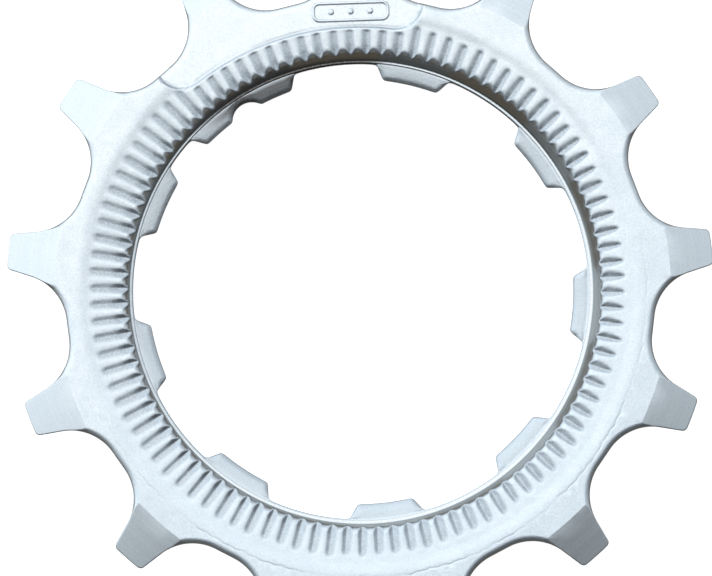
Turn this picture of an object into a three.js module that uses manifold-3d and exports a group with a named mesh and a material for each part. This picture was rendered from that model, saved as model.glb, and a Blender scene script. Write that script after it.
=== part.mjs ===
// One-piece 13-tooth cassette sprocket for the outermost position: a toothed plate
// on a spacer collar, with a splined bore and a serrated seat for the lockring.
// Millimetres, +Z up. The origin is on the sprocket's axis, on the collar's back face.

import * as THREE from "three";
import { mergeVertices } from "three/addons/utils/BufferGeometryUtils.js";
import Module from "manifold-3d";

// ---- driving dimensions ----

const TEETH = 13;
const CHAIN_PITCH = 12.7;
const PITCH_RADIUS = CHAIN_PITCH / (2 * Math.sin(Math.PI / TEETH));
const SEAT_RADIUS = 3.93;
const SEAT_FLAT = 1.56;
const TIP_RADIUS = 27.2;
const TIP_CORNER = 0.4;
const FLANK_LEAN = degrees(11.1);
const FIRST_TOOTH = degrees(35);
const TOOTH_STEP = (2 * Math.PI) / TEETH;

const COLLAR_HEIGHT = 2.56;
const COLLAR_RADIUS = 20.9;
const COLLAR_CHAMFER = 0.3;
const PLATE_THICKNESS = 1.78;
const FACE_Z = COLLAR_HEIGHT + PLATE_THICKNESS;

const FRONT_CONE_START = 23.6;
const FRONT_CONE_ANGLE = degrees(13);
const BACK_CONE_START = 24.6;
const BACK_CONE_ANGLE = degrees(7);

const SPLINE_MAJOR = 17.6;
const SPLINE_MINOR = 16.4;
const SPLINE_TOP = 2;
const SPLINE_COUNT = 9;
const SPLINE_STEP = degrees(40);
const FIRST_SPLINE = degrees(36.6);
const SPLINE_HALF_WIDTH = degrees(8.5);
const SPLINE_FLANK_LEAN = degrees(0.95);
const SPLINE_CORNER = 0.35;
const WIDE_SPLINE = 2;
const WIDE_SPLINE_CENTRE = degrees(122.65);
const WIDE_SPLINE_HALF_WIDTH = degrees(14.65);
const NOTCH_RADIUS = 1.45;
const NOTCH_DEPTH = 0.72;

const LEDGE_RADIUS = 17.95;
const LEDGE_Z = 2.35;
const WALL_TOP_RADIUS = 18.3;
const LAND_CHAMFER = 0.35;
const LAND_DROP = 0.3;
const LAND_Z = FACE_Z - LAND_DROP;
const LAND_OUTER = 20.75;
const DISH_OUTER = 21.95;

const SERRATIONS = 100;
const SERRATION_TOP_WIDTH = 0.54;
const SERRATION_FLOOR_WIDTH = 0.14;
const SERRATION_DEPTH = 0.3;
const SERRATION_OUTER = 20.55;

const PANEL_DEPTH = 0.28;
const PANEL_INNER = 20.3;
const PANEL_CORNER = 1.9;
const PANEL_START = FIRST_TOOTH + 1.5 * TOOTH_STEP + degrees(1.3);
const PANEL_SWEEP = 2 * TOOTH_STEP;
const SERRATION_OUTER_AT_PANEL = PANEL_INNER - 0.25;

const LABEL_ANGLE = degrees(92);
const LABEL_RADIUS = 21.5;
const LABEL_LENGTH = 6;
const LABEL_WIDTH = 1.6;
const LABEL_STROKE = 0.28;
const LABEL_CORNER = 0.6;
const LABEL_HEIGHT = 0.14;
const DOT_COUNT = 3;
const DOT_RADIUS = 0.26;
const DOT_STEP = 1.5;

const RING_SEGMENTS = 2 * SERRATIONS;
const SEAT_SEGMENTS = 9;
const CORNER_SEGMENTS = 3;
const TURNED_SEGMENTS = 12 * TEETH;
const MARGIN = 1;

// ---- helpers ----

function degrees(value) {
  return (value * Math.PI) / 180;
}

function polar(radius, angle) {
  return new THREE.Vector2(radius * Math.cos(angle), radius * Math.sin(angle));
}

// Points of an arc, both ends included.
function arc(centre, radius, from, to, segments) {
  const points = [];
  for (let i = 0; i <= segments; i += 1) {
    const angle = from + ((to - from) * i) / segments;
    points.push(polar(radius, angle).add(centre));
  }
  return points;
}

// The convex corner of a polygon replaced by an arc of the given radius.
function roundedCorner(before, corner, after, radius, segments) {
  const inward = before.clone().sub(corner).normalize();
  const onward = after.clone().sub(corner).normalize();
  const half = Math.acos(inward.dot(onward)) / 2;
  const bisector = inward.clone().add(onward).normalize();
  const centre = corner.clone().addScaledVector(bisector, radius / Math.sin(half));
  const start = corner.clone().addScaledVector(inward, radius / Math.tan(half)).sub(centre);
  const end = corner.clone().addScaledVector(onward, radius / Math.tan(half)).sub(centre);
  const turn = Math.atan2(start.cross(end), start.dot(end));
  return arc(centre, radius, start.angle(), start.angle() + turn, segments);
}

function rounded(corners, radius) {
  return corners.flatMap((corner, i) =>
    roundedCorner(
      corners.at(i - 1),
      corner,
      corners[(i + 1) % corners.length],
      radius,
      CORNER_SEGMENTS
    )
  );
}

const wasm = await Module();
wasm.setup();

function solid(geometry) {
  geometry.deleteAttribute("normal");
  geometry.deleteAttribute("uv");
  const welded = mergeVertices(geometry, 1e-5);
  return new wasm.Manifold(
    new wasm.Mesh({
      numProp: 3,
      vertProperties: Float32Array.from(welded.attributes.position.array),
      triVerts: Uint32Array.from(welded.index.array),
    })
  );
}

function extruded(outline, from, to) {
  const shape = new THREE.Shape(outline);
  const geometry = new THREE.ExtrudeGeometry(shape, { depth: to - from, bevelEnabled: false });
  return solid(geometry.translate(0, 0, from));
}

// A ring turned about Z, from its closed section given as [radius, z] pairs.
function turned(section, segments) {
  const points = [...section, section[0]].map(([radius, z]) => new THREE.Vector2(radius, z));
  return solid(new THREE.LatheGeometry(points, segments).rotateX(Math.PI / 2));
}

function toGeometry(manifold) {
  const mesh = manifold.getMesh();
  const geometry = new THREE.BufferGeometry();
  geometry.setAttribute("position", new THREE.BufferAttribute(mesh.vertProperties, 3));
  geometry.setIndex(new THREE.BufferAttribute(mesh.triVerts, 1));
  geometry.computeVertexNormals();
  return geometry;
}

// ---- toothed plate ----

// Right-hand half of a tooth gap, drawn about a gap centreline that points along +Y:
// half the flat of the seat, the seat's arc, and where its flank reaches the tip circle.
function gapHalf() {
  const seatSweep = Math.PI / 2 - (TOOTH_STEP / 2 + FLANK_LEAN);
  const seatCentre = new THREE.Vector2(SEAT_FLAT / 2, PITCH_RADIUS);
  const seat = arc(seatCentre, SEAT_RADIUS, -Math.PI / 2, -Math.PI / 2 + seatSweep, SEAT_SEGMENTS);
  const flankStart = seat.at(-1);
  const flank = polar(1, seatSweep);
  const along = flankStart.dot(flank);
  const reach = Math.sqrt(along ** 2 + TIP_RADIUS ** 2 - flankStart.lengthSq()) - along;
  return { seat, tip: flankStart.clone().addScaledVector(flank, reach) };
}

function mirrored(point) {
  return new THREE.Vector2(-point.x, point.y);
}

// One pitch of the outline, anticlockwise, about a gap centreline along +Y.
function pitchOutline() {
  const { seat, tip } = gapHalf();
  const leftTip = mirrored(tip);
  const nextTip = tip.clone().rotateAround(new THREE.Vector2(), TOOTH_STEP);
  const flankEnd = mirrored(seat.at(-1));
  return [
    ...seat.toReversed(),
    ...seat.map(mirrored),
    ...roundedCorner(flankEnd, leftTip, nextTip, TIP_CORNER, CORNER_SEGMENTS),
    polar(TIP_RADIUS, Math.PI / 2 + TOOTH_STEP / 2),
    ...roundedCorner(flankEnd, leftTip, nextTip, TIP_CORNER, CORNER_SEGMENTS)
      .map(mirrored)
      .map((point) => point.rotateAround(new THREE.Vector2(), TOOTH_STEP))
      .toReversed(),
  ];
}

function toothOutline() {
  const firstGap = FIRST_TOOTH - TOOTH_STEP / 2 - Math.PI / 2;
  const outline = [];
  for (let tooth = 0; tooth < TEETH; tooth += 1) {
    const turn = firstGap + tooth * TOOTH_STEP;
    outline.push(...pitchOutline().map((point) => point.rotateAround(new THREE.Vector2(), turn)));
  }
  return outline;
}

// The turned bevels thin each tooth from the front face and, less, from the back.
function bevelEnvelope() {
  const reach = TIP_RADIUS + MARGIN;
  const frontDrop = (reach - FRONT_CONE_START) * Math.tan(FRONT_CONE_ANGLE);
  const backRise = (reach - BACK_CONE_START) * Math.tan(BACK_CONE_ANGLE);
  return turned(
    [
      [LAND_OUTER, COLLAR_HEIGHT],
      [BACK_CONE_START, COLLAR_HEIGHT],
      [reach, COLLAR_HEIGHT + backRise],
      [reach, FACE_Z - frontDrop],
      [FRONT_CONE_START, FACE_Z],
      [LAND_OUTER, FACE_Z],
    ],
    TURNED_SEGMENTS
  );
}

function collar() {
  return turned(
    [
      [SPLINE_MAJOR, 0],
      [COLLAR_RADIUS - COLLAR_CHAMFER, 0],
      [COLLAR_RADIUS, COLLAR_CHAMFER],
      [COLLAR_RADIUS, FACE_Z],
      [SPLINE_MAJOR, FACE_Z],
    ],
    RING_SEGMENTS
  );
}

// ---- lockring seat ----

// Everything cut away above the spline ledge: the wall, the lands' chamfered inner
// edge, the sunk lands, and the dish that runs out into the face.
function seatCut() {
  return turned(
    [
      [SPLINE_MAJOR - MARGIN, LEDGE_Z - (LEDGE_RADIUS - SPLINE_MAJOR) - MARGIN],
      [SPLINE_MAJOR, LEDGE_Z - (LEDGE_RADIUS - SPLINE_MAJOR)],
      [LEDGE_RADIUS, LEDGE_Z],
      [WALL_TOP_RADIUS, LAND_Z - LAND_CHAMFER],
      [WALL_TOP_RADIUS + LAND_CHAMFER, LAND_Z],
      [LAND_OUTER, LAND_Z],
      [DISH_OUTER, FACE_Z],
      [DISH_OUTER, FACE_Z + MARGIN],
      [SPLINE_MAJOR - MARGIN, FACE_Z + MARGIN],
    ],
    RING_SEGMENTS
  );
}

function serrationCut(angle) {
  const rise = 0.2;
  const slope = (SERRATION_TOP_WIDTH - SERRATION_FLOOR_WIDTH) / 2 / SERRATION_DEPTH;
  const top = SERRATION_TOP_WIDTH / 2 + rise * slope;
  const outer = isBesidePanel(angle) ? SERRATION_OUTER_AT_PANEL : SERRATION_OUTER;
  const section = new THREE.Shape([
    new THREE.Vector2(-SERRATION_FLOOR_WIDTH / 2, LAND_Z - SERRATION_DEPTH),
    new THREE.Vector2(SERRATION_FLOOR_WIDTH / 2, LAND_Z - SERRATION_DEPTH),
    new THREE.Vector2(top, LAND_Z + rise),
    new THREE.Vector2(-top, LAND_Z + rise),
  ]);
  const depth = outer - SPLINE_MAJOR;
  const groove = new THREE.ExtrudeGeometry(section, { depth, bevelEnabled: false });
  groove.translate(0, 0, SPLINE_MAJOR).rotateX(Math.PI / 2);
  return solid(groove.rotateZ(angle + Math.PI / 2));
}

function isBesidePanel(angle) {
  const flat = Math.asin(PANEL_CORNER / PANEL_INNER) / 2;
  return angle > PANEL_START + flat && angle < PANEL_START + PANEL_SWEEP - flat;
}

// ---- sunk panel with its blank raised label ----

function panelCut() {
  const reach = TIP_RADIUS + MARGIN;
  const cornerRing = PANEL_INNER + PANEL_CORNER;
  const tuck = Math.asin(PANEL_CORNER / cornerRing);
  const start = PANEL_START + tuck;
  const end = PANEL_START + PANEL_SWEEP - tuck;
  const quarter = Math.PI / 2 - tuck;
  const outline = [
    polar(reach, PANEL_START),
    ...arc(
      polar(cornerRing, start),
      PANEL_CORNER,
      start - tuck - Math.PI / 2,
      start - Math.PI,
      CORNER_SEGMENTS * 2
    ),
    ...arc(new THREE.Vector2(), PANEL_INNER, start, end, 2 * TURNED_SEGMENTS / TEETH).slice(1, -1),
    ...arc(
      polar(cornerRing, end),
      PANEL_CORNER,
      end + Math.PI,
      end + Math.PI - quarter,
      CORNER_SEGMENTS * 2
    ),
    polar(reach, PANEL_START + PANEL_SWEEP),
    ...arc(new THREE.Vector2(), reach + MARGIN, PANEL_START + PANEL_SWEEP, PANEL_START, 4).slice(1, -1),
  ];
  return extruded(outline, FACE_Z - PANEL_DEPTH, FACE_Z + MARGIN);
}

function labelFrame(inset) {
  const x = LABEL_LENGTH / 2 - inset;
  const y = LABEL_WIDTH / 2 - inset;
  const corners = [
    new THREE.Vector2(-x, -y),
    new THREE.Vector2(x, -y),
    new THREE.Vector2(x, y),
    new THREE.Vector2(-x, y),
  ];
  return rounded(corners, LABEL_CORNER - inset);
}

function label() {
  const bottom = FACE_Z - PANEL_DEPTH - MARGIN / 2;
  const top = FACE_Z - PANEL_DEPTH + LABEL_HEIGHT;
  let mark = extruded(labelFrame(0), bottom, top).subtract(
    extruded(labelFrame(LABEL_STROKE), bottom - MARGIN, top + MARGIN)
  );
  for (let dot = 0; dot < DOT_COUNT; dot += 1) {
    const centre = new THREE.Vector2((dot - (DOT_COUNT - 1) / 2) * DOT_STEP, 0);
    const round = arc(centre, DOT_RADIUS, 0, 2 * Math.PI, 4 * CORNER_SEGMENTS).slice(1);
    mark = mark.add(extruded(round, bottom, top));
  }
  const turn = THREE.MathUtils.radToDeg(LABEL_ANGLE) - 90;
  const place = polar(LABEL_RADIUS, LABEL_ANGLE);
  return mark.rotate([0, 0, turn]).translate([place.x, place.y, 0]);
}

// ---- bore splines ----

function splineKey(centre, halfWidth) {
  const base = halfWidth + SPLINE_FLANK_LEAN;
  const tip = halfWidth - SPLINE_FLANK_LEAN;
  const root = (SPLINE_MAJOR + COLLAR_RADIUS) / 2;
  const tipLeft = polar(SPLINE_MINOR, centre + tip);
  const tipRight = polar(SPLINE_MINOR, centre - tip);
  const flankLeft = polar(SPLINE_MAJOR + 0.01, centre + base);
  const flankRight = polar(SPLINE_MAJOR + 0.01, centre - base);
  const tipAlong = polar(SPLINE_MINOR, centre + tip * 0.8);
  const tipBack = polar(SPLINE_MINOR, centre - tip * 0.8);
  const outline = [
    ...roundedCorner(flankLeft, tipLeft, tipAlong, SPLINE_CORNER, CORNER_SEGMENTS),
    ...arc(new THREE.Vector2(), SPLINE_MINOR, centre + tip * 0.8, centre - tip * 0.8, 6),
    ...roundedCorner(tipBack, tipRight, flankRight, SPLINE_CORNER, CORNER_SEGMENTS),
    flankRight,
    polar(root, centre - base),
    polar(root, centre + base),
    flankLeft,
  ];
  return extruded(outline, 0, SPLINE_TOP);
}

function notchCut() {
  const centre = polar(SPLINE_MINOR + NOTCH_DEPTH - NOTCH_RADIUS, WIDE_SPLINE_CENTRE);
  const round = arc(centre, NOTCH_RADIUS, 0, 2 * Math.PI, 8 * CORNER_SEGMENTS).slice(1);
  return extruded(round, -MARGIN, SPLINE_TOP + MARGIN);
}

function splineKeys() {
  let keys = splineKey(WIDE_SPLINE_CENTRE, WIDE_SPLINE_HALF_WIDTH).subtract(notchCut());
  for (let index = 0; index < SPLINE_COUNT; index += 1) {
    if (index !== WIDE_SPLINE) {
      keys = keys.add(splineKey(FIRST_SPLINE + index * SPLINE_STEP, SPLINE_HALF_WIDTH));
    }
  }
  return keys;
}

// ---- sprocket ----

function sprocket() {
  let body = extruded(toothOutline(), COLLAR_HEIGHT, FACE_Z)
    .intersect(bevelEnvelope())
    .add(collar())
    .subtract(seatCut())
    .subtract(panelCut())
    .add(label())
    .add(splineKeys());
  for (let index = 0; index < SERRATIONS; index += 1) {
    body = body.subtract(serrationCut(((index + 0.5) / SERRATIONS) * 2 * Math.PI));
  }
  const material = new THREE.MeshStandardMaterial({
    color: 0xd9dcdc,
    roughness: 0.42,
    metalness: 0.9,
  });
  const mesh = new THREE.Mesh(toGeometry(body), material);
  mesh.name = "sprocket";
  return mesh;
}

const object = new THREE.Group();
object.add(sprocket());

export default object;
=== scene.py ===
"""A one-piece 13-tooth cassette sprocket, seen almost straight down on its serrated front face.

The mesh is a closed net of rings. The rings run outward over the front face, down the
toothed rim, inward over the back and the collar, and up through the splined bore.
Lengths are millimetres until the mesh is made.
"""

import math

import bpy
import numpy as np
from mathutils import Matrix, Vector


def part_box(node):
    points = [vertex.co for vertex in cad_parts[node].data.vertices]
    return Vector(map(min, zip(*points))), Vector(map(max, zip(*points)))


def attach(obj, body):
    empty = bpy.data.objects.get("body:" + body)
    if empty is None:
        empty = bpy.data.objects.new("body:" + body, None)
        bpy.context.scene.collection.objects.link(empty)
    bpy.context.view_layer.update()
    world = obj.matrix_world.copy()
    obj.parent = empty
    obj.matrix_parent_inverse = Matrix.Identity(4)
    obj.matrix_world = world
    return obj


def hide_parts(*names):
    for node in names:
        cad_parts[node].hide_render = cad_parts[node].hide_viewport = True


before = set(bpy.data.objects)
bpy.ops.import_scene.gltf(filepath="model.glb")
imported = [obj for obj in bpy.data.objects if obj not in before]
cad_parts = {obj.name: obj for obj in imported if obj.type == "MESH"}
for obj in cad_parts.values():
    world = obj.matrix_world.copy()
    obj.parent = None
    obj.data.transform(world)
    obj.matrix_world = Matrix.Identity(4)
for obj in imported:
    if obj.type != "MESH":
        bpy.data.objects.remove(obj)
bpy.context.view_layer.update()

CAD_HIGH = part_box("sprocket")[1]
MM = 0.001
TAU = 2 * math.pi
SEED = 13

# ---- dimensions ----
# The ledge, the lands and the serrations follow the photo more closely than the CAD part does.

TEETH = 13
STEP = TAU / TEETH
PITCH_RADIUS = 12.7 / (2 * math.sin(math.pi / TEETH))
SEAT_RADIUS = 3.93
SEAT_FLAT = 1.56
ROOT_RADIUS = PITCH_RADIUS - SEAT_RADIUS
TIP_RADIUS = 27.17
TIP_CORNER = 0.4
TIP_CORNER_POINTS = 10
FLANK_LEAN = math.radians(11.1)
FIRST_TOOTH = math.radians(35)

FACE_Z = CAD_HIGH.z / MM
PLATE_BACK = FACE_Z - 1.78
FRONT_ABOVE_Z = 3.2  # only the front face reaches higher than this
COLLAR_RADIUS = 20.9
COLLAR_CHAMFER = 0.3
COLLAR_FILLET = 0.2

BEVEL_START = 23.6
BEVEL_SLOPE = math.tan(math.radians(13))
BEVEL_RUNOUT = np.array([0.2, 0.05])
BACK_BEVEL_START = 24.6
BACK_BEVEL_SLOPE = math.tan(math.radians(7))

SPLINE_MAJOR = 17.6
SPLINE_MINOR = 16.4
KEY_STEP = math.radians(40)
FIRST_KEY = math.radians(36.6)
KEY_HALF_WIDTH = math.radians(8.5)
KEY_COUNT = 9
WIDE_KEY = 2
WIDE_KEY_CENTRE = math.radians(122.65)
WIDE_KEY_HALF_WIDTH = math.radians(14.65)
KEY_FLANK_SWEEP = math.radians(1.9)
KEY_FLANK_SOFTNESS = 0.2
NOTCH_RADIUS = 1.45
NOTCH_CENTRE = SPLINE_MINOR + 0.72 - NOTCH_RADIUS
NOTCH_HALF_WIDTH = 0.5
NOTCH_SOFTNESS = 0.12
NOTCH_BLEND = 1.5

LEDGE_RADIUS = 17.835
LEDGE_RUNOUT = np.array([0.075, 0.0])
LEDGE_Z = 2.3
WALL_TOP_RADIUS = 18.2
LAND_Z = FACE_Z - 0.19
LAND_OUTER = 20.75
DISH_OUTER = 21.95

SERRATIONS = 100
SEAT_MIDDLE = 19.5
# Angle round the seat, and how far the serrations there stand ahead of even spacing, in degrees.
GROOVE_DRIFTS = np.array([
    (9, -0.35), (27, -0.5), (63, -0.55), (81, -0.37), (99, 0.25), (117, 0.52), (135, 0.57),
    (171, 0.25), (207, 0.05), (261, 0.15), (306, 0.4), (351, 0.15),
])
GROOVE_PHASE = math.radians(3.0)
GROOVE_NEAR_WIDTH = 0.335
GROOVE_NEAR_CHANGE = 0.08
GROOVE_FAR_WIDTH = 0.48
GROOVE_DEPTH = 0.07
GROOVE_DEPTH_CHANGE = 0.38
GROOVE_MOUTH_DEPTH = 0.11
GROOVE_MOUTH_RADII = (18.3, 19.1)
GROOVE_PUSH = 0.19
GROOVE_PUSH_CHANGE = 0.1
GROOVE_PUSH_RADIUS = 18.6
GROOVE_NEAR_FULLNESS = 1.05
GROOVE_FAR_FULLNESS = 1.2
GROOVE_ROOT_SOFTNESS = 0.12
GROOVE_SHIFT_SPREAD = 0.012
GROOVE_WIDTH_SPREAD = 0.05
GROOVE_DEPTH_SPREAD = 0.05
GROOVE_END_SPREAD = 0.06
GROOVE_OUTER = 20.6
GROOVE_FADE = 0.4
GROOVE_FADE_CHANGE = 0.15
GROOVE_FADE_TAIL = 0.04
GROOVE_TAPER = 0.08
GROOVE_TAPER_RIGHT = 0.45
GROOVE_TAPER_LENGTH = 1.3
LAND_CROWN = 0.012
LAND_CROWN_WIDTH = 0.6

PANEL_DEPTH = 0.28
PANEL_INNER = 20.3
PANEL_CORNER = 1.9
PANEL_START = FIRST_TOOTH + 1.5 * STEP + math.radians(1.3)
PANEL_END = PANEL_START + 2 * STEP
PANEL_STEP_WIDTH = 0.16
PANEL_GROOVE_OUTER = PANEL_INNER - 0.17
PANEL_GROOVE_FADE = 0.18
PANEL_GROOVE_MARGIN = 0.05
PANEL_CLEARANCE = (-0.22, -0.04)
PANEL_FALL = 0.2

# ---- surface detail the CAD leaves out ----

SEAT_RUNOUT = np.array([0.26, 0.16])
BORE_RUNOUT = np.array([0.05, 0.04])
BORE_TIGHTNESS = 0.9955
GROOVE_RUNOUT = 0.28
# Angle round the part at which the serrations are longest, shallowest and pushed in most.
LONG_GROOVES = math.radians(135)
SHALLOW_GROOVES = math.radians(145)
PUSHED_GROOVES = 2.2
LAND_TILT = 0.1
DISH_SHAPE = 1.5
LAND_ROUND_WIDTH = 0.52
LAND_ROUND_HEIGHT = 0.42
ROLL_DEPTH = 0.29
ROLL_REACH = 0.52
TOOTH_ROLL_REACH = 0.2
ROLL_STEEPNESS = 0.95
EDGE_REACH = 0.07
EDGE_DEPTH = 0.06
KEY_ROLL_DEPTH = 0.15
KEY_ROLL_REACH = 0.42
KEY_CROWN = 0.13
KEY_ROOT_Z = 2.26
BORE_DRAFT = 0.08
PANEL_LINE_DEPTH = 0.055
PANEL_LINE_INSET = 0.02
PANEL_LINE_WIDTH = 0.09
LAP_RADIUS = 21.93
LAP_DEPTH = 0.022
LAP_WIDTH = 0.05
WAVE_HEIGHT = 0.005
WAVE_SIZE = 3.5
WAVES_PER_OCTAVE = 5
WAVE_GAIN = 2.2

# ---- spacing of the mesh ----

OUTLINE_SPACING = 0.15
EDGE_SPACING = 0.05
BORE_SPACING = 0.17
FRONT_INNER = 22.04
COLLAR_COLUMNS = 360


def smooth(edge0, edge1, x):
    t = np.clip((x - edge0) / (edge1 - edge0), 0, 1)
    return t * t * (3 - 2 * t)


def polar(radius, angle):
    return np.stack([radius * np.cos(angle), radius * np.sin(angle)], axis=-1)


def turned_by(points, angle):
    c, s = math.cos(angle), math.sin(angle)
    return points @ np.array([[c, s], [-s, c]])


def wave_noise(x, y, size, seed, octaves=3):
    """Smooth noise from about -1 to 1: a sum of sine waves in random directions."""
    rng = np.random.default_rng(seed)
    total = np.zeros_like(x)
    weight = 0.0
    for octave in range(octaves):
        for _ in range(WAVES_PER_OCTAVE):
            angle, phase = rng.uniform(0, TAU, 2)
            k = TAU / size * 2**octave * rng.uniform(0.7, 1.3)
            amount = 0.6**octave
            total += amount * np.sin(k * (x * math.cos(angle) + y * math.sin(angle)) + phase)
            weight += amount
    return total / weight * WAVE_GAIN


# ---- outline of the teeth ----


def half_gap(spacing):
    """Right half of a tooth gap about a gap centreline along +Y: points and outward normals."""
    sweep = math.pi / 2 - (STEP / 2 + FLANK_LEAN)
    along = np.array([math.cos(sweep), math.sin(sweep)])
    inward = np.array([math.sin(sweep), -math.cos(sweep)])
    seat_centre = np.array([SEAT_FLAT / 2, PITCH_RADIUS])
    seat_end = seat_centre + SEAT_RADIUS * inward
    start = seat_end + TIP_CORNER * inward
    reach = TIP_RADIUS - TIP_CORNER
    b = start @ along
    run = -b + math.sqrt(b * b - start @ start + reach * reach)
    corner = start + run * along
    tip_angle = math.atan2(corner[0], corner[1])

    count = round(SEAT_FLAT / 2 / spacing)
    flat_x = np.linspace(0, SEAT_FLAT / 2, count, endpoint=False)
    flat = np.stack([flat_x, np.full(count, ROOT_RADIUS)], 1)
    flat_normal = np.tile([0.0, 1.0], (count, 1))

    count = round(SEAT_RADIUS * sweep / spacing)
    angle = np.linspace(-math.pi / 2, sweep - math.pi / 2, count, endpoint=False)
    seat = seat_centre + polar(SEAT_RADIUS, angle)
    seat_normal = -polar(1, angle)

    count = round(run / spacing)
    flank = seat_end + np.linspace(0, run, count, endpoint=False)[:, None] * along
    flank_normal = np.tile(-inward, (count, 1))

    ends = sweep + math.pi / 2, math.pi / 2 - tip_angle
    angle = np.linspace(*ends, TIP_CORNER_POINTS, endpoint=False)
    rounded = corner + polar(TIP_CORNER, angle)
    rounded_normal = polar(1, angle)

    count = round(TIP_RADIUS * (STEP / 2 - tip_angle) / (2 * spacing))
    angle = math.pi / 2 - np.linspace(tip_angle, STEP / 2, count)
    tip = polar(TIP_RADIUS, angle)
    tip_normal = polar(1, angle)

    points = np.vstack([flat, seat, flank, rounded, tip])
    normals = np.vstack([flat_normal, seat_normal, flank_normal, rounded_normal, tip_normal])
    return points, normals


def tooth_outline(spacing):
    """The whole outline anticlockwise, from the middle of a tooth tip, and its normals."""
    points, normals = half_gap(spacing)
    flip = np.array([-1.0, 1.0])
    points = np.vstack([points[::-1], points[1:-1] * flip])
    normals = np.vstack([normals[::-1], normals[1:-1] * flip])
    first_gap = FIRST_TOOTH - STEP / 2 - math.pi / 2
    turns = [first_gap + tooth * STEP for tooth in range(TEETH)]
    return (
        np.vstack([turned_by(points, turn) for turn in turns]),
        np.vstack([turned_by(normals, turn) for turn in turns]),
    )


HALF_GAP = half_gap(EDGE_SPACING)[0]


def edge_distance(x, y):
    """Distance in from the toothed outline, found by folding a point into half a tooth gap."""
    radius = np.hypot(x, y)
    angle = np.arctan2(y, x) - FIRST_TOOTH - STEP / 2
    folded = np.abs((angle + STEP / 2) % STEP - STEP / 2)
    local = np.stack([radius * np.sin(folded), radius * np.cos(folded)], 1)
    nearest = np.full(len(local), np.inf)
    for point in HALF_GAP:
        nearest = np.minimum(nearest, np.hypot(*(local - point).T))
    return nearest


# ---- heights of the front face ----

RANDOM = np.random.default_rng(SEED)
GROOVE_SHIFT = RANDOM.normal(0, GROOVE_SHIFT_SPREAD, SERRATIONS)
GROOVE_WIDTH = 1 + RANDOM.normal(0, GROOVE_WIDTH_SPREAD, SERRATIONS)
GROOVE_DEPTHS = GROOVE_DEPTH * (1 + RANDOM.normal(0, GROOVE_DEPTH_SPREAD, SERRATIONS))
GROOVE_END = RANDOM.normal(0, GROOVE_END_SPREAD, SERRATIONS)
GROOVE_STEP = TAU / SERRATIONS
GROOVE_ANGLE = np.arange(SERRATIONS) * GROOVE_STEP + GROOVE_PHASE
GROOVE_DRIFT = np.radians(np.interp(np.degrees(GROOVE_ANGLE), *GROOVE_DRIFTS.T, period=360))
GROOVE_SHIFT = GROOVE_SHIFT + GROOVE_DRIFT * SEAT_MIDDLE


def groove_depth(x, y):
    """Depth of the serrations below the lands. Each groove differs a little from the next."""
    radius = np.hypot(x, y)
    angle = np.arctan2(y - SEAT_RUNOUT[1], x - SEAT_RUNOUT[0]) - GROOVE_PHASE
    index = np.round(angle / GROOVE_STEP).astype(int)
    root = index * GROOVE_STEP
    across = radius * np.sin(angle - root) - GROOVE_SHIFT[index]
    centre = root + GROOVE_PHASE
    beside_panel = centre > PANEL_START + PANEL_GROOVE_MARGIN
    beside_panel = beside_panel & (centre < PANEL_END - PANEL_GROOVE_MARGIN)
    long_side = np.cos(centre - LONG_GROOVES)
    soft_end = GROOVE_OUTER + GROOVE_RUNOUT * long_side + GROOVE_END[index]
    end = np.where(beside_panel, PANEL_GROOVE_OUTER, soft_end)
    fade = np.where(beside_panel, PANEL_GROOVE_FADE, GROOVE_FADE - GROOVE_FADE_CHANGE * long_side)
    reach = 1 - smooth(0, 1, (radius - (end - fade)) / (fade + GROOVE_FADE_TAIL))
    reach = reach * (1 - smooth(*PANEL_CLEARANCE, panel_inset(x, y)))
    taper = GROOVE_TAPER + GROOVE_TAPER_RIGHT * np.clip(np.cos(centre), 0, 1) ** 2
    near_width = GROOVE_NEAR_WIDTH * (1 + GROOVE_NEAR_CHANGE * np.sin(centre))
    width = np.where(across < 0, near_width, GROOVE_FAR_WIDTH) * GROOVE_WIDTH[index]
    tapered = smooth(0, 1, (radius - end + GROOVE_TAPER_LENGTH) / GROOVE_TAPER_LENGTH)
    width = width * (1 - taper * tapered)
    share = np.abs(across) / width
    blunt = GROOVE_ROOT_SOFTNESS
    soft = np.sqrt(share**2 + blunt**2) - blunt
    fullness = np.where(across < 0, GROOVE_NEAR_FULLNESS, GROOVE_FAR_FULLNESS)
    section = np.clip(1 - soft / (math.sqrt(1 + blunt**2) - blunt), 0, 1) ** fullness
    past_flank = (np.abs(across) - width) / (LAND_CROWN_WIDTH * width)
    crown = LAND_CROWN * np.clip(1 - past_flank, 0, 1) ** 2
    pressed = 1 - GROOVE_DEPTH_CHANGE * np.cos(centre - SHALLOW_GROOVES)
    mouth = GROOVE_MOUTH_DEPTH * (1 - smooth(*GROOVE_MOUTH_RADII, radius))
    depth = GROOVE_DEPTHS[index] * pressed + mouth
    return (depth * section + crown) * reach


def panel_inset(x, y):
    """Distance inside the sunk panel's rounded outline, negative outside it."""
    radius = np.hypot(x, y)
    angle = np.arctan2(y, x)
    sides = radius * np.minimum(np.sin(angle - PANEL_START), np.sin(PANEL_END - angle))
    sides = np.where(y > 0, sides, -radius)
    base = radius - PANEL_INNER
    corner = PANEL_CORNER - np.hypot(PANEL_CORNER - sides, PANEL_CORNER - base)
    in_corner = (sides < PANEL_CORNER) & (base < PANEL_CORNER)
    return np.where(in_corner, corner, np.minimum(sides, base))


def bevel_drop(x, y):
    reach = np.hypot(x - BEVEL_RUNOUT[0], y - BEVEL_RUNOUT[1])
    return np.maximum(reach - BEVEL_START, 0) * BEVEL_SLOPE


def bevel_surface(flat):
    return FACE_Z - bevel_drop(*flat.T)


def lap_jag(angle):
    """How far the fine folded line round the dish wanders off its circle."""
    return 0.05 * np.sin(37 * angle) * np.sin(11 * angle + 1) + 0.04 * np.sin(131 * angle + 2)


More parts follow.
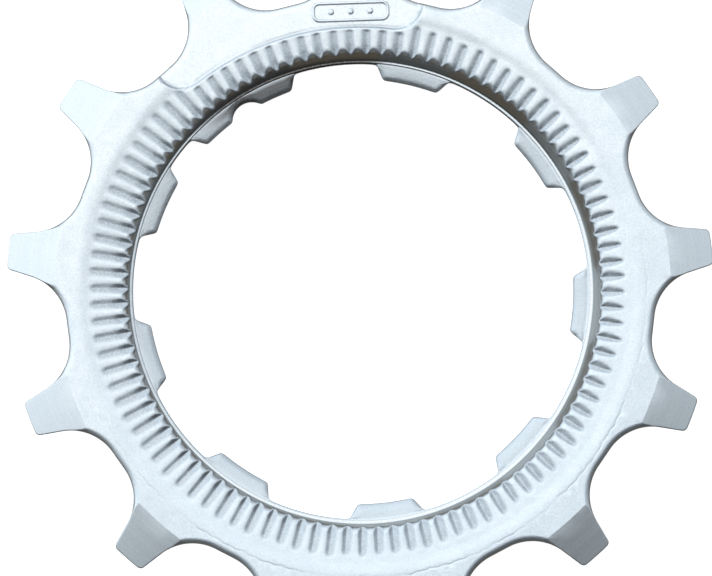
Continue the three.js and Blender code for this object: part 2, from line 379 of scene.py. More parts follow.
def lap_strength(angle):
    """The folded line shows along the lower side and comes and goes."""
    lower_side = smooth(-0.2, 0.5, -np.sin(angle - 0.25))
    broken = smooth(-0.9, 0.7, np.sin(9 * angle + 0.5) + np.sin(23 * angle))
    return lower_side * (0.25 + 0.75 * broken)


def face_height(x, y):
    """The front face before its edges are rounded."""
    radius = np.hypot(x, y)
    angle = np.arctan2(y, x)
    fall = np.clip((DISH_OUTER - radius) / (DISH_OUTER - LAND_OUTER), 0, 1)
    drop = (FACE_Z - LAND_Z - LAND_TILT) * smooth(0, 1, fall**DISH_SHAPE)
    inner = np.clip((LAND_OUTER - radius) / (LAND_OUTER - WALL_TOP_RADIUS - LAND_ROUND_WIDTH), 0, 1)
    height = FACE_Z - drop - LAND_TILT * inner
    inset = panel_inset(x, y)
    inside = smooth(-PANEL_STEP_WIDTH / 2, PANEL_STEP_WIDTH / 2, inset)
    height = height + (np.minimum(height, FACE_Z - PANEL_DEPTH) - height) * inside
    line = np.exp(-((inset - PANEL_LINE_INSET) / PANEL_LINE_WIDTH) ** 2)
    height = height - PANEL_LINE_DEPTH * line
    lap = np.exp(-(((radius - LAP_RADIUS - lap_jag(angle)) / LAP_WIDTH) ** 2))
    height = height - LAP_DEPTH * lap_strength(angle) * lap
    height = height + WAVE_HEIGHT * wave_noise(x, y, WAVE_SIZE, SEED) - WAVE_HEIGHT
    return np.minimum(height, FACE_Z - bevel_drop(x, y)) - groove_depth(x, y)


def rounding(distance, reach, depth):
    """Fall of a rounded edge at a distance in from it."""
    across = ROLL_STEEPNESS * np.clip(1 - distance / reach, 0, 1)
    return depth * (1 - np.sqrt(1 - across**2)) / (1 - math.sqrt(1 - ROLL_STEEPNESS**2))


def front_height(x, y):
    distance = edge_distance(x, y)
    rolled = FACE_Z - rounding(distance, ROLL_REACH, ROLL_DEPTH)
    rolled = rolled - PANEL_DEPTH * smooth(0, PANEL_FALL, panel_inset(x, y))
    height = np.minimum(face_height(x, y), rolled)
    return height - rounding(distance, EDGE_REACH, EDGE_DEPTH)


def back_height(x, y):
    return PLATE_BACK + np.maximum(np.hypot(x, y) - BACK_BEVEL_START, 0) * BACK_BEVEL_SLOPE


# ---- the net of rings ----

# What each mask of the material covers: faces turned on a lathe, blanked and bored walls, the floor
# of the panel, the serrations with the panel's outline, the ledge, and the tops of the keys.
MASKS = ("turned", "cut", "struck", "sunk", "smoothed", "keyed")
SUNK_DEPTH = 0.04
PANEL_LINE_SHADE = 0.95
STRUCK_INSETS = (0.05, 0.25)
TURNED_DEPTH = 0.006
TURNED_BLEND = 0.002
FLANK_COLUMNS = np.array([
    -0.36, -0.28, -0.23, -0.15, -0.08, -0.02, 0.04, 0.1, 0.18, 0.27, 0.36, 0.45, 0.54, 0.65,
])
LAND_EDGE_TURNS = np.radians([72, 58, 44, 29, 14])
LAND_EDGE_CUT = (55, 80)
LAND_RADII = [19.0, 19.35, 19.6]
GROOVE_END_RADII = [19.72, 19.84, 19.94, 20.03, 20.12, 20.2, 20.29, 20.4, 20.55, 20.7, 20.85]
DISH_RADII = [21.05, 21.2, 21.35, 21.5, 21.65, 21.78, 21.86, 21.92, 21.98, FRONT_INNER - 0.03]
SEAT_RUNOUT_RADII = (20.6, FRONT_INNER - 0.1)
TOOTH_ROLL_RADII = (23.0, 24.4)
TOOTH_PANEL_INSETS = (0.1, 0.4)
TOOTH_MARGIN = 0.15
CREASE_SHARE = 0.9
BACK_CREASE_SHARE = 0.87
BACK_CREASE_MARGIN = 0.1
EDGE_SHARES = (1, 0.8, 0.6, 0.42, 0.27, 0.14, 0.05, 0)
RIM_SHARES = (0.12, 0.5, 0.85)
BACK_EDGE_LIFT = 0.06
CREASE_GAP = 0.05
CREASE_GAP_SHARE = 0.3


class Net:
    """Closed rings of points, each joined to the one before it."""

    def __init__(self):
        self.points = []
        self.faces = []
        self.masks = {mask: [] for mask in MASKS}
        self.starts = []
        self.total = 0

    def ring(self, flat, height, turned=0.0, cut=0.0, smoothed=0.0, keyed=0.0):
        """Adds a ring, with how far each mask of the material covers its points, 0 to 1."""
        points = np.column_stack([flat, np.broadcast_to(height, len(flat))])
        front = points[:, 2] > FRONT_ABOVE_Z
        depth = groove_depth(*flat.T) * front
        inset = panel_inset(*flat.T)
        # The sunk mask darkens the line round the panel as painted shade in its crease, and the
        # grooves partly for their duller finish, partly as painted shade.
        line = PANEL_LINE_SHADE * np.exp(-((inset / PANEL_LINE_WIDTH) ** 2)) * front
        sunk = np.maximum(smooth(0.0, SUNK_DEPTH, depth), line)
        struck = smooth(*STRUCK_INSETS, inset) * front
        for mask, value in zip(MASKS, (turned, cut, struck, sunk, smoothed, keyed)):
            self.masks[mask].append(np.broadcast_to(value, len(flat)))
        self.starts.append((self.total, points))
        self.total += len(points)
        self.points.append(points)
        if len(self.starts) > 1:
            self.join(self.starts[-2], self.starts[-1])

    def close(self):
        self.join(self.starts[-1], self.starts[0])

    def join(self, one, two):
        (start_a, a), (start_b, b) = one, two
        if len(a) == len(b):
            index = np.arange(len(a))
            after = (index + 1) % len(a)
            quads = np.stack([start_a + index, start_b + index, start_b + after, start_a + after], 1)
            self.faces.extend(quads.tolist())
            return
        self.zip_rings(one, two)

    def zip_rings(self, one, two):
        """Triangles between rings of different counts, taken in order of angle."""
        (start_a, a), (start_b, b) = one, two
        angle_a = np.unwrap(np.arctan2(a[:, 1], a[:, 0]))
        angle_b = np.unwrap(np.arctan2(b[:, 1], b[:, 0]))
        offset = (angle_b - angle_a[0] + math.pi) % TAU - math.pi
        first = int(np.argmin(np.abs(offset)))
        angle_b = np.roll(angle_b, -first)
        angle_b[len(b) - first :] += TAU
        angle_b += offset[first] + angle_a[0] - angle_b[0]
        angle_a = np.append(angle_a, angle_a[0] + TAU)
        angle_b = np.append(angle_b, angle_b[0] + TAU)
        i = j = 0
        while i < len(a) or j < len(b):
            at_a = start_a + i % len(a)
            at_b = start_b + (first + j) % len(b)
            if j == len(b) or (i < len(a) and angle_a[i + 1] < angle_b[j + 1]):
                i += 1
                self.faces.append([at_a, at_b, start_a + i % len(a)])
            else:
                j += 1
                self.faces.append([at_a, at_b, start_b + (first + j) % len(b)])


def spaced(points, spacing):
    """A closed outline resampled at even spacing."""
    loop = np.vstack([points, points[:1]])
    run = np.concatenate([[0], np.cumsum(np.hypot(*np.diff(loop, axis=0).T))])
    at = np.linspace(0, run[-1], round(run[-1] / spacing), endpoint=False)
    return np.column_stack([np.interp(at, run, loop[:, 0]), np.interp(at, run, loop[:, 1])])


def seat_columns(radius):
    """Angles of one ring's points over the serrations, gathered at the groove flanks."""
    roots = GROOVE_ANGLE + GROOVE_DRIFT
    pitch = np.arcsin(FLANK_COLUMNS / radius)
    return (roots[:, None] + pitch).ravel()


def add_seat(net):
    """Rounded inner edge of the lands, the serrations, and the dish round them."""
    for turn in LAND_EDGE_TURNS:
        radius = WALL_TOP_RADIUS + LAND_ROUND_WIDTH * (1 - math.sin(turn))
        angle = seat_columns(radius)
        at_mouth = polar(GROOVE_PUSH_RADIUS, angle) + SEAT_RUNOUT
        mouth = groove_depth(*at_mouth.T) / GROOVE_MOUTH_DEPTH
        push = GROOVE_PUSH + GROOVE_PUSH_CHANGE * np.cos(angle - PUSHED_GROOVES)
        flat = polar(radius - push * np.clip(mouth, 0, 1), angle) + SEAT_RUNOUT
        edge = LAND_Z - LAND_ROUND_HEIGHT * (1 - math.cos(turn))
        groove = LAND_Z - groove_depth(*flat.T)
        net.ring(flat, np.minimum(edge, groove), cut=smooth(*LAND_EDGE_CUT, math.degrees(turn)))
    first = WALL_TOP_RADIUS + LAND_ROUND_WIDTH
    for radius in [first + 0.03] + LAND_RADII + GROOVE_END_RADII + DISH_RADII:
        flat = polar(radius, seat_columns(radius))
        flat = flat + SEAT_RUNOUT * (1 - smooth(*SEAT_RUNOUT_RADII, radius))
        net.ring(flat, face_height(*flat.T))


class Teeth:
    """Columns that run from a circle inside the teeth out to the toothed outline."""

    def __init__(self):
        self.outline, self.normal = tooth_outline(OUTLINE_SPACING)
        radius = np.hypot(*self.outline.T)
        narrow = smooth(*TOOTH_ROLL_RADII, radius)
        self.reach = ROLL_REACH + (TOOTH_ROLL_REACH - ROLL_REACH) * narrow
        self.inset = self.outline - self.normal * self.reach[:, None]
        inset_radius = np.hypot(*self.inset.T)
        angle = np.arctan2(self.inset[:, 1], self.inset[:, 0])
        in_panel = smooth(*TOOTH_PANEL_INSETS, panel_inset(*self.outline.T))
        crease = BEVEL_START + in_panel * PANEL_DEPTH / BEVEL_SLOPE
        crease = crease + BEVEL_RUNOUT @ polar(1, angle).T
        on_tooth = inset_radius > crease + TOOTH_MARGIN
        per_tooth = len(angle) // TEETH
        for tooth in range(TEETH):
            index = (np.arange(per_tooth) + (tooth - 0.5) * per_tooth).astype(int) % len(angle)
            index = index[on_tooth[index]]
            steps = np.hypot(*np.diff(self.inset[index], axis=0).T)
            run = np.concatenate([[0], np.cumsum(steps)]) / steps.sum()
            first, last = angle[index[0]], angle[index[-1]]
            sweep = (last - first + math.pi) % TAU - math.pi
            angle[index] = first + sweep * run
        self.inner = polar(FRONT_INNER, angle)
        between = self.inner + CREASE_SHARE * (self.inset - self.inner)
        self.crease = np.where(on_tooth[:, None], polar(crease, angle), between)
        back_crease = self.along(self.crease, self.inset, BACK_CREASE_SHARE)
        start, step = self.crease, self.inset - self.crease
        a = (step**2).sum(1)
        b = (start * step).sum(1)
        c = (start**2).sum(1) - BACK_BEVEL_START**2
        root = (np.sqrt(np.maximum(b * b - a * c, 0)) - b) / a
        crossing = (inset_radius > BACK_BEVEL_START + BACK_CREASE_MARGIN) & (root > 0)
        self.back_crease = np.where(crossing[:, None], start + step * root[:, None], back_crease)

    def along(self, start, end, share):
        return start + share * (end - start)

    def near_crease(self, towards):
        step = towards - self.crease
        length = np.hypot(*step.T)[:, None]
        return self.crease + step * np.minimum(CREASE_GAP / length, CREASE_GAP_SHARE)

    def edge(self, share):
        return self.outline - self.normal * (self.reach * share)[:, None]


def add_teeth(net):
    """Front face outside the dish, the rim, and the back face down to the collar."""
    teeth = Teeth()
    front = [
        teeth.inner,
        teeth.along(teeth.inner, teeth.crease, 0.33),
        teeth.along(teeth.inner, teeth.crease, 0.67),
        teeth.near_crease(teeth.inner),
        teeth.crease,
        teeth.near_crease(teeth.inset),
        teeth.along(teeth.crease, teeth.inset, 0.4),
        teeth.along(teeth.crease, teeth.inset, 0.75),
        *[teeth.edge(share) for share in EDGE_SHARES],
    ]
    for flat in front:
        height = front_height(*flat.T)
        bare = FACE_Z - PANEL_DEPTH * smooth(0, PANEL_FALL, panel_inset(*flat.T))
        turned_away = bare - TURNED_DEPTH - bevel_surface(flat)
        net.ring(flat, height, turned=smooth(-TURNED_BLEND, TURNED_BLEND, turned_away))
    top = front_height(*teeth.outline.T)
    bottom = back_height(*teeth.outline.T) + BACK_EDGE_LIFT
    for share in RIM_SHARES:
        net.ring(teeth.outline, top + share * (bottom - top), cut=1)
    net.ring(teeth.outline, bottom, cut=1)
    for flat in (teeth.edge(0.14), teeth.edge(1), teeth.back_crease, teeth.crease, teeth.inner):
        on_bevel = smooth(BACK_BEVEL_START, BACK_BEVEL_START + 0.02, np.hypot(*flat.T))
        net.ring(flat, back_height(*flat.T), turned=on_bevel)


def add_collar(net):
    angle = np.arange(COLLAR_COLUMNS) * TAU / COLLAR_COLUMNS
    fillet = COLLAR_FILLET
    section = [
        (COLLAR_RADIUS + fillet + 0.1, PLATE_BACK),
        (COLLAR_RADIUS + fillet, PLATE_BACK),
        (COLLAR_RADIUS + 0.3 * fillet, PLATE_BACK - 0.3 * fillet),
        (COLLAR_RADIUS, PLATE_BACK - fillet),
        (COLLAR_RADIUS, PLATE_BACK - fillet - 0.1),
        (COLLAR_RADIUS, COLLAR_CHAMFER + 0.12),
        (COLLAR_RADIUS, COLLAR_CHAMFER + 0.03),
        (COLLAR_RADIUS - 0.03, COLLAR_CHAMFER - 0.03),
        (COLLAR_RADIUS - COLLAR_CHAMFER + 0.03, 0.03),
        (COLLAR_RADIUS - COLLAR_CHAMFER - 0.03, 0),
        (COLLAR_RADIUS - COLLAR_CHAMFER - 0.15, 0),
    ]
    for radius, height in section:
        net.ring(polar(radius, angle), height, turned=1)


# ---- splined bore ----

BORE_POINTS = 20000
# How far outside the drafted bore, the height and the cut mask, at the bore's back edge.
BORE_BACK_EDGE = ((0.1, 0, 0), (0.03, 0.01, 0), (0, 0.08, 0.4))
KEY_STARTS = 0.05
KEY_END_ROLL = 0.02
KEY_END_LENGTH = 0.6
KEY_EDGE = (0.03, 0.3)
KEY_CROWN_SHAPE = 1.9
KEY_WALL_SHARES = (0.25, 0.6, 0.93)
KEY_WALL_CUT = 0.2
KEY_TOP_SHARES = (0, 0.06, 0.2, 0.42, 0.7, 1)
KEY_LEAST_ROLL = 0.3
KEY_MIDDLE_SHARE = 0.6
# How far the bore's edge lies below the ledge between the keys, from its lip outward.
LIP_DROP = 0.12
LIP_RISE = 0.06
LIP_MIDDLE_DROP = 0.05
LIP_OUTER_DROP = 0.04
# Radius, height and cut mask, from the ledge up the wall.
WALL = (
    (17.58, LEDGE_Z - 0.03, 0),
    (17.62, LEDGE_Z - 0.01, 0),
    (17.7, LEDGE_Z - 0.01, 0),
    (LEDGE_RADIUS - 0.05, LEDGE_Z - 0.01, 0),
    (LEDGE_RADIUS - 0.01, LEDGE_Z, 0),
    (LEDGE_RADIUS + 0.02, LEDGE_Z + 0.04, 1),
    (LEDGE_RADIUS + 0.05, LEDGE_Z + 0.25, 1),
    (18.04, 3.05, 1),
    (18.13, 3.45, 1),
)
WALL_RUNOUT_TOP = LAND_Z - 0.4
LEDGE_RUNOUT_RADII = (17.55, 17.75)


def soft_ramp(t, softness):
    """0 to 1 as t goes from 0 to 1, with both corners rounded."""
    return 0.5 + (np.sqrt(t**2 + softness**2) - np.sqrt((t - 1) ** 2 + softness**2)) / 2


def bore_radius(angle):
    """Radius of the splined bore at an angle: nine keys, the wide one with a notch."""
    radius = np.full_like(angle, SPLINE_MAJOR)
    for key in range(KEY_COUNT):
        centre, half = FIRST_KEY + key * KEY_STEP, KEY_HALF_WIDTH
        if key == WIDE_KEY:
            centre, half = WIDE_KEY_CENTRE, WIDE_KEY_HALF_WIDTH
        off = (angle - centre + math.pi) % TAU - math.pi
        run = KEY_FLANK_SWEEP
        rise = soft_ramp((half + run / 2 - np.abs(off)) / run, KEY_FLANK_SOFTNESS)
        radius = radius - (SPLINE_MAJOR - SPLINE_MINOR) * rise
        if key == WIDE_KEY:
            side = NOTCH_CENTRE * np.sin(off)
            inside = np.abs(off) < NOTCH_HALF_WIDTH
            arch = np.sqrt(np.maximum(NOTCH_RADIUS**2 - side**2, 0))
            arch = np.where(inside, NOTCH_CENTRE * np.cos(off) + arch, 0)
            gap = arch - radius
            widened = (gap + np.sqrt(gap**2 + NOTCH_SOFTNESS**2)) / 2
            radius = radius + widened * (gap > -NOTCH_BLEND)
    return radius


class Bore:
    """Columns round the splined bore."""

    def __init__(self):
        fine = np.linspace(0, TAU, BORE_POINTS, endpoint=False)
        splined = polar(bore_radius(fine) * BORE_TIGHTNESS, fine) + BORE_RUNOUT
        self.outline = spaced(splined, BORE_SPACING)
        ahead, behind = np.roll(self.outline, -1, 0), np.roll(self.outline, 1, 0)
        tangent = ahead - behind
        tangent /= np.hypot(*tangent.T)[:, None]
        self.inward = np.column_stack([tangent[:, 1], -tangent[:, 0]])
        radius = np.hypot(*(self.outline - BORE_RUNOUT).T)
        self.drop = SPLINE_MAJOR * BORE_TIGHTNESS - radius
        self.on_key = self.drop > KEY_STARTS
        self.reach = np.zeros(len(radius))
        self.angle = np.arctan2(self.outline[:, 1], self.outline[:, 0])
        for start in np.flatnonzero(self.on_key & ~np.roll(self.on_key, 1)):
            count = 1
            while self.on_key[(start + count) % len(radius)]:
                count += 1
            index = (start + np.arange(count)) % len(radius)
            steps = np.hypot(*np.diff(self.outline[index], axis=0).T)
            run = np.concatenate([[0], np.cumsum(steps)])
            from_end = np.minimum(run, run[-1] - run)
            roll = smooth(0, KEY_END_LENGTH, from_end)
            self.reach[index] = KEY_END_ROLL + (KEY_ROLL_REACH - KEY_END_ROLL) * roll
            tops = self.inset(1)[index]
            angle = np.arctan2(tops[:, 1], tops[:, 0])
            sweep = (angle[-1] - angle[0] + math.pi) % TAU - math.pi
            self.angle[index] = angle[0] + sweep * run / run[-1]
        on_circle = polar(SPLINE_MAJOR * BORE_TIGHTNESS, self.angle) + BORE_RUNOUT
        self.base = np.where(self.on_key[:, None], on_circle, self.outline)

    def inset(self, share):
        return self.outline + self.inward * (self.reach * share)[:, None]


def add_bore(net):
    """From the back face up the splines, over their tops, and up the wall above them."""
    bore = Bore()
    for outward, height, cut in BORE_BACK_EDGE:
        net.ring(bore.outline + bore.inward * (BORE_DRAFT + outward), height, cut=cut)
    depth = KEY_ROLL_DEPTH * np.maximum(bore.reach / KEY_ROLL_REACH, KEY_LEAST_ROLL)
    key = smooth(*KEY_EDGE, bore.drop)

    def key_top(flat):
        fall = (SPLINE_MAJOR - np.hypot(*flat.T)) / (SPLINE_MAJOR - SPLINE_MINOR)
        return KEY_ROOT_Z - KEY_CROWN * np.clip(fall, 0, 1) ** KEY_CROWN_SHAPE

    for share in KEY_WALL_SHARES:
        flat = bore.outline + bore.inward * (BORE_DRAFT * (1 - share))
        net.ring(flat, share * (key_top(bore.outline) - depth), cut=KEY_WALL_CUT)
    for share in KEY_TOP_SHARES:
        flat = bore.inset(share)
        rolled = key_top(flat) - rounding(np.full(len(depth), share), 1, depth)
        plain = LEDGE_Z - LIP_DROP + share * LIP_RISE
        net.ring(flat, plain + (rolled - plain) * key, keyed=key)
    middle = bore.inset(1) + KEY_MIDDLE_SHARE * (bore.base - bore.inset(1))
    rise = (key_top(middle) - LEDGE_Z + LIP_MIDDLE_DROP) * key
    net.ring(middle, LEDGE_Z - LIP_MIDDLE_DROP + rise, keyed=key)
    rise = (KEY_ROOT_Z - LEDGE_Z + LIP_OUTER_DROP) * key
    net.ring(bore.base, LEDGE_Z - LIP_OUTER_DROP + rise, smoothed=1 - key)
    for radius, height, cut in WALL:
        share = smooth(LEDGE_Z, WALL_RUNOUT_TOP, height)
        on_ledge = smooth(*LEDGE_RUNOUT_RADII, radius)
        runout = BORE_RUNOUT + (LEDGE_RUNOUT - BORE_RUNOUT) * on_ledge
        flat = polar(radius, bore.angle) + runout + (SEAT_RUNOUT - LEDGE_RUNOUT) * share
        net.ring(flat, height, turned=cut, cut=cut, smoothed=1 - cut)


def mesh_from(net, name):
    points = np.vstack(net.points) * MM
    mesh = bpy.data.meshes.new(name)
    mesh.from_pydata(points.tolist(), [], net.faces)
    mesh.polygons.foreach_set("use_smooth", [True] * len(mesh.polygons))
    for mask in MASKS:
        layer = mesh.attributes.new(mask, "FLOAT", "POINT")
        layer.data.foreach_set("value", np.concatenate(net.masks[mask]).astype(np.float32))
    mesh.update()
    return mesh


net = Net()
add_seat(net)
add_teeth(net)
add_collar(net)
add_bore(net)
net.close()
body = bpy.data.objects.new("sprocket_body", mesh_from(net, "sprocket_body"))
bpy.context.collection.objects.link(body)


# ---- blank label that stands in for the lettering ----

LABEL_ANGLE = math.radians(92)
LABEL_RADIUS = 21.5
LABEL_LENGTH = 6.0
LABEL_WIDTH = 1.6
LABEL_STROKE = 0.28
LABEL_CORNER = 0.6
LABEL_SINK = 0.06
LABEL_CORNER_POINTS = 9
# Share of the stroke's half width, and the height there.
LABEL_SIDE = [(1, -LABEL_SINK), (0.92, 0.03), (0.72, 0.09), (0.35, 0.12), (0, 0.125)]
DOT_RADIUS = 0.26
DOT_STEP = 1.5
DOTS = 3
DOT_SIDES = 20
# Share of a dot's radius, and the height there.
DOT_LEVELS = [(1, -LABEL_SINK), (0.97, 0.03), (0.85, 0.08), (0.55, 0.11), (0.2, 0.12)]


def label_mesh():
    """A raised rounded frame round three raised dots, with crowned tops."""
    points, faces = [], []
    floor = FACE_Z - PANEL_DEPTH
    corner = LABEL_CORNER - LABEL_STROKE / 2
    straight_x = LABEL_LENGTH / 2 - LABEL_CORNER
    straight_y = LABEL_WIDTH / 2 - LABEL_CORNER
    centres = [(1, 1), (-1, 1), (-1, -1), (1, -1)]
    path, normal = [], []
    for quarter, (side_x, side_y) in enumerate(centres):
        angle = np.linspace(quarter, quarter + 1, LABEL_CORNER_POINTS) * math.pi / 2
        out = polar(1, angle)
        path.append(np.array([side_x * straight_x, side_y * straight_y]) + corner * out)
        normal.append(out)
    path, normal = np.vstack(path), np.vstack(normal)
    section = [(LABEL_STROKE / 2 * share, up) for share, up in LABEL_SIDE]
    section += [(-across, up) for across, up in section[-2::-1]]
    count = len(path)
    for across, up in section:
        ring = path + normal * across
        points.append(np.column_stack([ring, np.full(count, floor + up)]))
    rings = len(section)
    for ring in range(rings):
        for i in range(count):
            j = (i + 1) % count
            a, b = ring * count, (ring + 1) % rings * count
            faces.append([a + i, a + j, b + j, b + i])
    total = rings * count
    angle = np.arange(DOT_SIDES) * TAU / DOT_SIDES
    for dot in range(DOTS):
        centre = np.array([(dot - (DOTS - 1) / 2) * DOT_STEP, 0])
        for share, up in DOT_LEVELS:
            ring = centre + polar(DOT_RADIUS * share, angle)
            points.append(np.column_stack([ring, np.full(DOT_SIDES, floor + up)]))
        top = total + (len(DOT_LEVELS) - 1) * DOT_SIDES
        for a in range(total, top, DOT_SIDES):
            b = a + DOT_SIDES
            for i in range(DOT_SIDES):
                j = (i + 1) % DOT_SIDES
                faces.append([a + i, a + j, b + j, b + i])
        faces.append([total + i for i in range(DOT_SIDES)][::-1])
        faces.append([top + i for i in range(DOT_SIDES)])
        total = top + DOT_SIDES
    points = np.vstack(points)
    turn = LABEL_ANGLE - math.pi / 2
    flat = turned_by(points[:, :2], turn) + polar(LABEL_RADIUS, np.array(LABEL_ANGLE))
    mesh = bpy.data.meshes.new("blank_label")
    mesh.from_pydata((np.column_stack([flat, points[:, 2]]) * MM).tolist(), [], faces)
    mesh.polygons.foreach_set("use_smooth", [True] * len(mesh.polygons))
    return mesh


label = bpy.data.objects.new("blank_label", label_mesh())
bpy.context.collection.objects.link(label)

# ---- look ----


class Nodes:
    """Short calls for building a node tree."""

    def __init__(self, tree):
        self.tree = tree

    def add(self, kind, inputs=(), **settings):
        node = self.tree.nodes.new(kind)
        for name, value in settings.items():
            setattr(node, name, value)
        for key, value in dict(inputs).items():
            self.put(node.inputs[key], value)
        return node

    def put(self, socket, value):
        if isinstance(value, bpy.types.NodeSocket):
            self.tree.links.new(value, socket)
        else:
            socket.default_value = value

    def math(self, operation, *values, clamp=False):
        inputs = dict(enumerate(values))
        return self.add("ShaderNodeMath", inputs, operation=operation, use_clamp=clamp).outputs[0]

    def vector(self, operation, *values):
        node = self.add("ShaderNodeVectorMath", dict(enumerate(values)), operation=operation)
        return node.outputs["Value" if operation in ("DOT_PRODUCT", "LENGTH") else "Vector"]

    def ramp(self, value, low, high, start=0.0, end=1.0):
        """Smooth step of a value from low to high, giving start to end."""
        inputs = {"Value": value, "From Min": low, "From Max": high, "To Min": start, "To Max": end}
        node = self.add("ShaderNodeMapRange", inputs, interpolation_type="SMOOTHSTEP")
        return node.outputs["Result"]

    def toward(self, place, direction, low, high, start=0.0, end=1.0):
        """Smooth step of a place's distance along a direction."""
        return self.ramp(self.vector("DOT_PRODUCT", place, direction), low, high, start, end)

    def mask(self, name):
        return self.add("ShaderNodeAttribute", attribute_name=name).outputs["Fac"]

    def noise(self, vector, scale, detail=3.0, roughness=0.5, distortion=0.0):
        inputs = {"Vector": vector, "Scale": scale, "Detail": detail}
        inputs.update({"Roughness": roughness, "Distortion": distortion})
        return self.add("ShaderNodeTexNoise", inputs).outputs["Fac"]

    def mix(self, factor, one, two):
        node = self.add("ShaderNodeMix", data_type="RGBA")
        for socket, value in zip((node.inputs[0], node.inputs[6], node.inputs[7]), (factor, one, two)):
            self.put(socket, value)
        return node.outputs[2]

    def blend(self, factor, one, two):
        """Number between two, by a factor."""
        node = self.add("ShaderNodeMix", {0: factor, 2: one, 3: two}, data_type="FLOAT")
        return node.outputs[0]


SATIN_DARK = (0.81, 0.83, 0.845, 1)
SATIN_LIGHT = (0.90, 0.91, 0.92, 1)
SATIN_GRAIN = (0.72, 0.75, 0.77, 1)
SATIN_SHADED = (0.61, 0.68, 0.74, 1)
DULL_DARK = (0.40, 0.43, 0.46, 1)
DULL_LIGHT = (0.57, 0.595, 0.62, 1)
STRUCK_STEEL_AND_HIGHLIGHT = (0.93, 0.93, 0.925, 1)
LATHED_DARK = (0.71, 0.73, 0.745, 1)
LATHED_LIGHT = (0.78, 0.795, 0.805, 1)
LEDGE_POLISHED = (0.55, 0.575, 0.59, 1)
LEDGE_SHADED = (0.30, 0.31, 0.33, 1)
SHADE_BROWN = (0.17, 0.165, 0.16, 1)
UNLIT_BROWN = (0.085, 0.075, 0.065, 1)
BLANKED_DARK = (0.42, 0.41, 0.38, 1)
BLANKED_LIGHT = (0.62, 0.62, 0.60, 1)
BORED_DARK = (0.40, 0.39, 0.37, 1)
BORED_LIGHT = (0.58, 0.58, 0.56, 1)
PEPPERED = (0.45, 0.47, 0.50, 1)

# Painted shades, each darker towards one side of the part. Direction across the part, where along it a
# shade starts and ends growing, and its strength there.
SHADED_LOWER_RIGHT = ((0.35, -0.94, 0), -18, 24, 0, 0.45)
DULL_AND_SHADED_GROOVES = ((-0.3, 0.95, 0), -16, 8, 0.75, 0.95)
LEDGE_SHADED_LEFT = ((-0.94, 0.34, 0), 4, 16, 0, 0.45)
SHADED_TOP = ((-0.3907, 0.9205, 0), 15.9, 16.9, 0, 0.95)
UNLIT = ((-0.292, 0.956, 0), 16.0, 16.8, 0, 0.95)

# Noise cells to the millimetre.
LATHE_SCALE = 13.0
LATHE_WIDE_SCALE = 1.6
MOTTLE_SCALE = 0.55
GRAIN_SCALE = 6.5
SPECK_SCALE = 17.0
PEPPER_SCALE = 8.0
STREAK_SCALES = (5.0, 5.0, 0.7)
LATHE_CLIMB = 0.6

NOISE_MIDDLE = (0.3, 0.7)
STRUCK_SHARE = 0.4
KEY_DULLNESS = 0.35
ROOT_SHADE_INNER = (17.2, 17.42)
ROOT_SHADE_OUTER = (17.5, 17.66)
ROOT_SHADE_SHARE = 0.7
KEY_ROOT_RADII = (17.0, 17.4)
KEY_ROOT_SHARE = 0.6
KEY_COARSENESS = 1.6
LEDGE_ROUGHNESS = 0.17
CUT_ROUGHNESS = 0.36
# Least roughness, and how much the grain or the lathe lines add.
SATIN_ROUGHNESS = (0.36, 0.14)
LATHED_ROUGHNESS = (0.28, 0.16)
BUMP_DISTANCE = 0.012
BUMP_STRENGTH = 0.6


